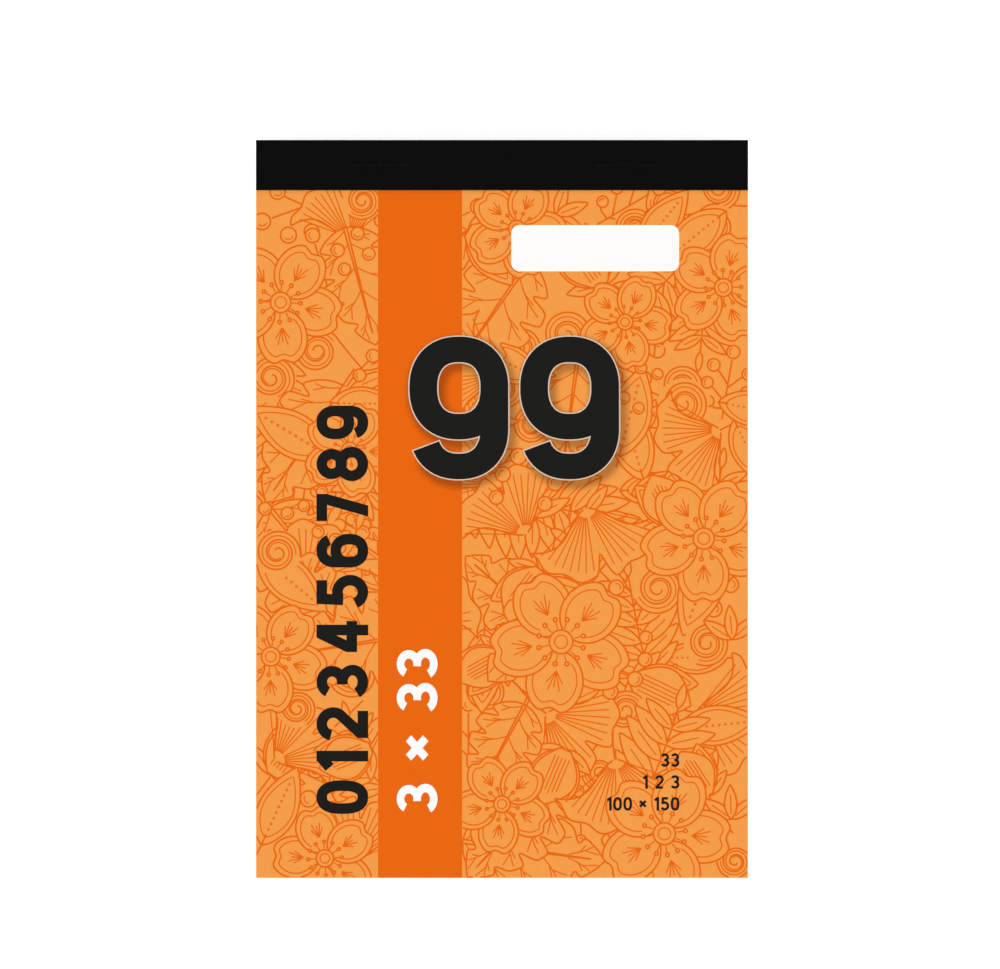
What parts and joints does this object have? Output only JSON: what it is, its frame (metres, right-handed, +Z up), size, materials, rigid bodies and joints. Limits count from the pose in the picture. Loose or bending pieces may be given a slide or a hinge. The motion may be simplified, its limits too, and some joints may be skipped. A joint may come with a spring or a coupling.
{
  "type": "triplicate book",
  "caption": "Top-bound pocket book of triplicate leaves with a printed card cover, taped and stapled head, perforated tear-off leaves, carbon sheets and a grey back board.",
  "frame": {"origin": "middle of the back board's underside, on the surface that the closed book lies on", "axes": "+X across the book to the reader's right, +Y from the tail to the taped head, +Z up through the front cover"},
  "size_m": [0.1, 0.15, 0.0099],
  "materials": {
    "cover_card": "satin printed card in two oranges, uncoated white inside",
    "black_tape": "matt black embossed binding tape",
    "grey_board": "matt grey recycled board with fine flecks",
    "staple_wire": "bright galvanised wire",
    "white_paper": "matt white writing paper with pale ruled lines",
    "pink_paper": "matt pink writing paper with pale ruled lines",
    "yellow_paper": "matt yellow writing paper with pale ruled lines",
    "carbon_film": "dark blue waxy carbon coat on thin tissue"
  },
  "bodies": {
    "book": {"back_board": "grey_board", "binding_tape": "black_tape", "left_staple": "staple_wire", "right_staple": "staple_wire", "front_cover_stub": "cover_card", "first_original_stub": "white_paper", "first_duplicate_stub": "pink_paper", "first_triplicate_stub": "yellow_paper", "second_original_stub": "white_paper", "second_duplicate_stub": "pink_paper", "second_triplicate_stub": "yellow_paper", "buried_originals": "white_paper", "buried_duplicates": "pink_paper", "buried_triplicates": "yellow_paper"},
    "front_cover": {"front_cover": "cover_card"},
    "first_original_leaf": {"first_original_leaf": "white_paper"},
    "first_duplicate_leaf": {"first_duplicate_leaf": "pink_paper"},
    "first_triplicate_leaf": {"first_triplicate_leaf": "yellow_paper"},
    "second_original_leaf": {"second_original_leaf": "white_paper"},
    "second_duplicate_leaf": {"second_duplicate_leaf": "pink_paper"},
    "second_triplicate_leaf": {"second_triplicate_leaf": "yellow_paper"},
    "upper_carbon": {"upper_carbon": "carbon_film"},
    "lower_carbon": {"lower_carbon": "carbon_film"}
  },
  "joints": [
    {"name": "cover_turn", "type": "hinge", "parent": "book", "child": "front_cover", "pos_m": [0, 0.0644, 0.00962], "axis": [-1, 0, 0], "range_deg": [0, 170]},
    {"name": "first_original_turn", "type": "hinge", "parent": "book", "child": "first_original_leaf", "pos_m": [0, 0.0632, 0.00912], "axis": [-1, 0, 0], "range_deg": [0, 136]},
    {"name": "first_duplicate_turn", "type": "hinge", "parent": "book", "child": "first_duplicate_leaf", "pos_m": [0, 0.0627, 0.00896], "axis": [-1, 0, 0], "range_deg": [0, 112.2]},
    {"name": "first_triplicate_turn", "type": "hinge", "parent": "book", "child": "first_triplicate_leaf", "pos_m": [0, 0.0622, 0.0088], "axis": [-1, 0, 0], "range_deg": [0, 88.4]},
    {"name": "second_original_turn", "type": "hinge", "parent": "book", "child": "second_original_leaf", "pos_m": [0, 0.0617, 0.0087], "axis": [-1, 0, 0], "range_deg": [0, 64.6]},
    {"name": "second_duplicate_turn", "type": "hinge", "parent": "book", "child": "second_duplicate_leaf", "pos_m": [0, 0.0612, 0.0086], "axis": [-1, 0, 0], "range_deg": [0, 42.5]},
    {"name": "second_triplicate_turn", "type": "hinge", "parent": "book", "child": "second_triplicate_leaf", "pos_m": [0, 0.0607, 0.0085], "axis": [-1, 0, 0], "range_deg": [0, 20.4]},
    {"name": "upper_carbon_slide", "type": "slide", "parent": "first_duplicate_leaf", "child": "upper_carbon", "axis": [0, -1, 0], "range_m": [0, 0.125]},
    {"name": "lower_carbon_slide", "type": "slide", "parent": "first_triplicate_leaf", "child": "lower_carbon", "axis": [0, -1, 0], "range_m": [0, 0.125]}
  ],
  "couplings": [
    {"joint": "first_original_turn", "follows": "cover_turn", "ratio": 0.8},
    {"joint": "first_duplicate_turn", "follows": "cover_turn", "ratio": 0.66},
    {"joint": "first_triplicate_turn", "follows": "cover_turn", "ratio": 0.52},
    {"joint": "second_original_turn", "follows": "cover_turn", "ratio": 0.38},
    {"joint": "second_duplicate_turn", "follows": "cover_turn", "ratio": 0.25},
    {"joint": "second_triplicate_turn", "follows": "cover_turn", "ratio": 0.12}
  ]
}
